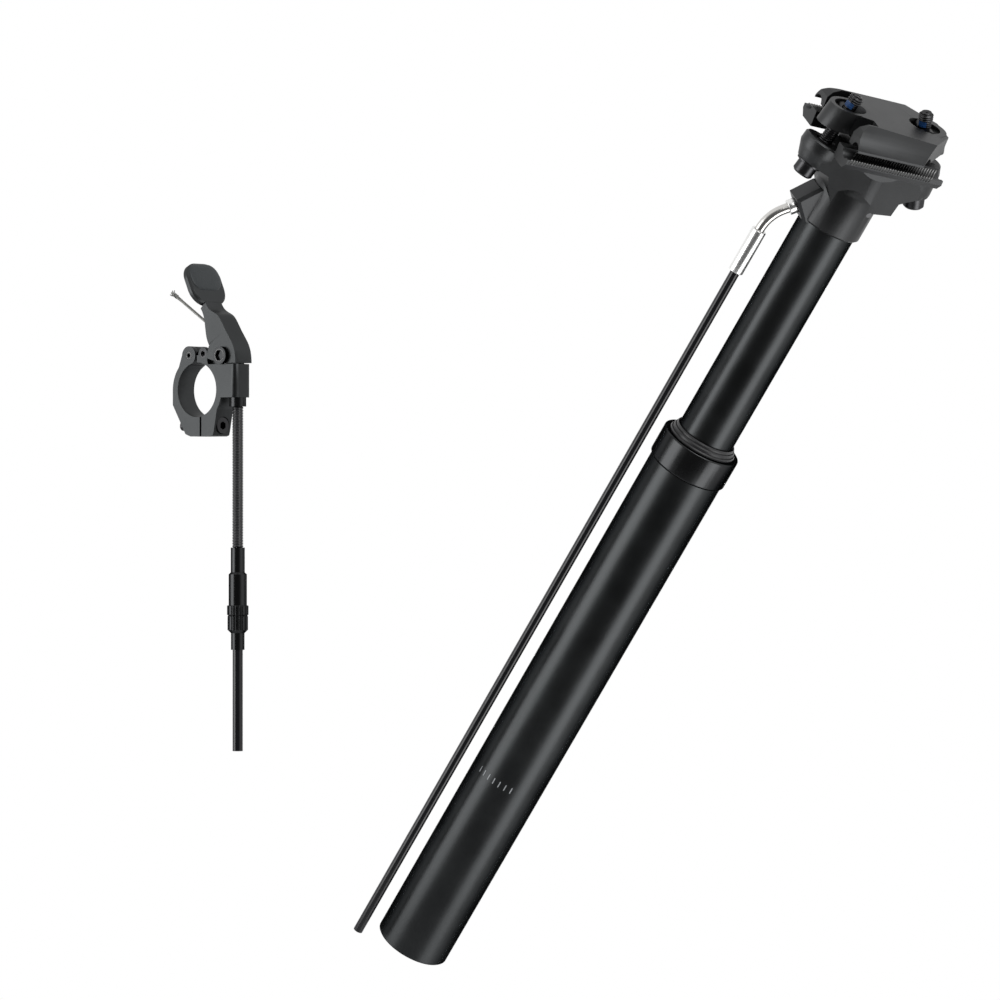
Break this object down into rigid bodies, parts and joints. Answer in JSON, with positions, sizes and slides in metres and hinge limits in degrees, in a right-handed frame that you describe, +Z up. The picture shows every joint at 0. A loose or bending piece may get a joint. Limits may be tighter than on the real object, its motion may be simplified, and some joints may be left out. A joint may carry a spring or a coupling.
{
  "type": "dropper seatpost",
  "caption": "Height-adjustable bicycle seatpost with a two-bolt saddle clamp, a head-mounted cable actuator and a hinged handlebar remote.",
  "frame": {"origin": "centre of the lower tube's bottom end, on the post's axis", "axes": "+Z up the post's axis towards the saddle, +X to the rear of the bicycle along the saddle rails, +Y across the bicycle; the cable boss is on the -X side"},
  "size_m": [0.2228, 0.1435, 0.4206],
  "materials": {
    "black_anodised": "satin black anodised",
    "gloss_black": "gloss black anodised",
    "forged_black": "satin black",
    "silver_alloy": "satin silver",
    "bright_steel": "bright",
    "black_steel": "black oxide",
    "rubber_black": "matt",
    "bush_plastic": "matt",
    "cable_outer": "gloss",
    "conduit_black": "satin",
    "key_brass": "satin"
  },
  "bodies": {
    "lower_tube": {"lower_tube": "black_anodised", "seal_collar": "gloss_black", "wiper_seal": "rubber_black", "upper_bush": "bush_plastic", "bottom_plug": "black_anodised", "plug_circlip": "bright_steel", "rod_bolt": "bright_steel", "cartridge_rod": "bright_steel", "cartridge_piston": "silver_alloy", "piston_ring": "rubber_black", "piston_nut": "bright_steel", "remote_bracket": "gloss_black", "clamp_strap": "gloss_black", "strap_hinge_pin": "bright_steel", "bar_clamp_bolt": "bright_steel", "stop_screw": "black_steel", "lever_bolt": "black_steel", "pivot_bush": "bush_plastic", "conduit_collar": "gloss_black", "flex_conduit": "conduit_black", "conduit_sleeve": "gloss_black", "adjuster_body": "gloss_black", "remote_inner_wire": "bright_steel"},
    "stanchion": {"stanchion": "black_anodised", "lower_bush": "bush_plastic", "guide_keys": "key_brass", "top_out_bumper": "rubber_black", "cartridge_cylinder": "silver_alloy", "cartridge_gland": "silver_alloy", "gland_seal": "rubber_black", "cartridge_cap": "silver_alloy", "head": "forged_black", "actuator_pin": "bright_steel", "noodle": "bright_steel", "noodle_nut": "silver_alloy", "housing_ferrule": "silver_alloy", "post_housing": "cable_outer", "post_inner_wire": "bright_steel", "clamp_bolts": "black_steel", "bolt_washers": "black_steel"},
    "valve_pin": {"valve_pin": "bright_steel"},
    "actuator": {"actuator_lever": "bright_steel", "cable_nipple": "bright_steel"},
    "saddle_clamp": {"lower_clamp": "forged_black", "upper_clamp": "forged_black"},
    "front_barrel_nut": {"front_barrel_nut": "black_steel"},
    "rear_barrel_nut": {"rear_barrel_nut": "black_steel"},
    "lever": {"lever_blade": "gloss_black", "pinch_screw": "bright_steel", "cable_tail": "bright_steel"},
    "adjuster_carriage": {"housing_cap": "gloss_black", "remote_housing": "cable_outer"},
    "adjuster_barrel": {"adjuster_barrel": "gloss_black", "lock_ring": "gloss_black"}
  },
  "joints": [
    {"name": "saddle_travel", "type": "slide", "parent": "lower_tube", "child": "stanchion", "axis": [0, 0, 1], "range_m": [-0.1, 0], "stiffness_N_per_m": 400, "springref_m": 0.3},
    {"name": "saddle_tilt", "type": "hinge", "parent": "stanchion", "child": "saddle_clamp", "pos_m": [-0.0001, 0, 0.40268], "axis": [0, -1, 0], "range_deg": [-8, 8]},
    {"name": "front_nut_turn", "type": "hinge", "parent": "saddle_clamp", "child": "front_barrel_nut", "pos_m": [-0.01846, 0, 0.40506], "axis": [0, -1, 0], "range_deg": [-8, 8]},
    {"name": "rear_nut_turn", "type": "hinge", "parent": "saddle_clamp", "child": "rear_barrel_nut", "pos_m": [0.0169, 0, 0.41003], "axis": [0, -1, 0], "range_deg": [-8, 8]},
    {"name": "lever_pivot", "type": "hinge", "parent": "lower_tube", "child": "lever", "pos_m": [-0.16587, 0.0792, 0.19275], "axis": [-0.8982, -0.4366, -0.0515], "range_deg": [0, 15], "stiffness_Nm_per_rad": 0.6, "springref_deg": -17.19},
    {"name": "actuator_turn", "type": "hinge", "parent": "stanchion", "child": "actuator", "pos_m": [0.0072, 0, 0.374], "axis": [0, -1, 0], "range_deg": [0, 5.5]},
    {"name": "valve_press", "type": "slide", "parent": "stanchion", "child": "valve_pin", "axis": [0, 0, -1], "range_m": [0, 0.00065], "stiffness_N_per_m": 20, "springref_m": -0.001},
    {"name": "adjuster_travel", "type": "slide", "parent": "lower_tube", "child": "adjuster_carriage", "axis": [0.2884, -0.4966, -0.8187], "range_m": [0, 0.0024]},
    {"name": "adjuster_turn", "type": "hinge", "parent": "adjuster_carriage", "child": "adjuster_barrel", "pos_m": [-0.13402, 0.02356, 0.10898], "axis": [0.2884, -0.4966, -0.8187], "range_deg": [0, 1110]}
  ],
  "couplings": [
    {"joint": "front_nut_turn", "follows": "saddle_tilt", "ratio": -1},
    {"joint": "rear_nut_turn", "follows": "saddle_tilt", "ratio": -1},
    {"joint": "actuator_turn", "follows": "lever_pivot", "ratio": 0.32353},
    {"joint": "valve_press", "follows": "lever_pivot", "m_per_rad": 0.0023294},
    {"joint": "adjuster_turn", "follows": "adjuster_travel", "rad_per_m": 7853.9}
  ]
}
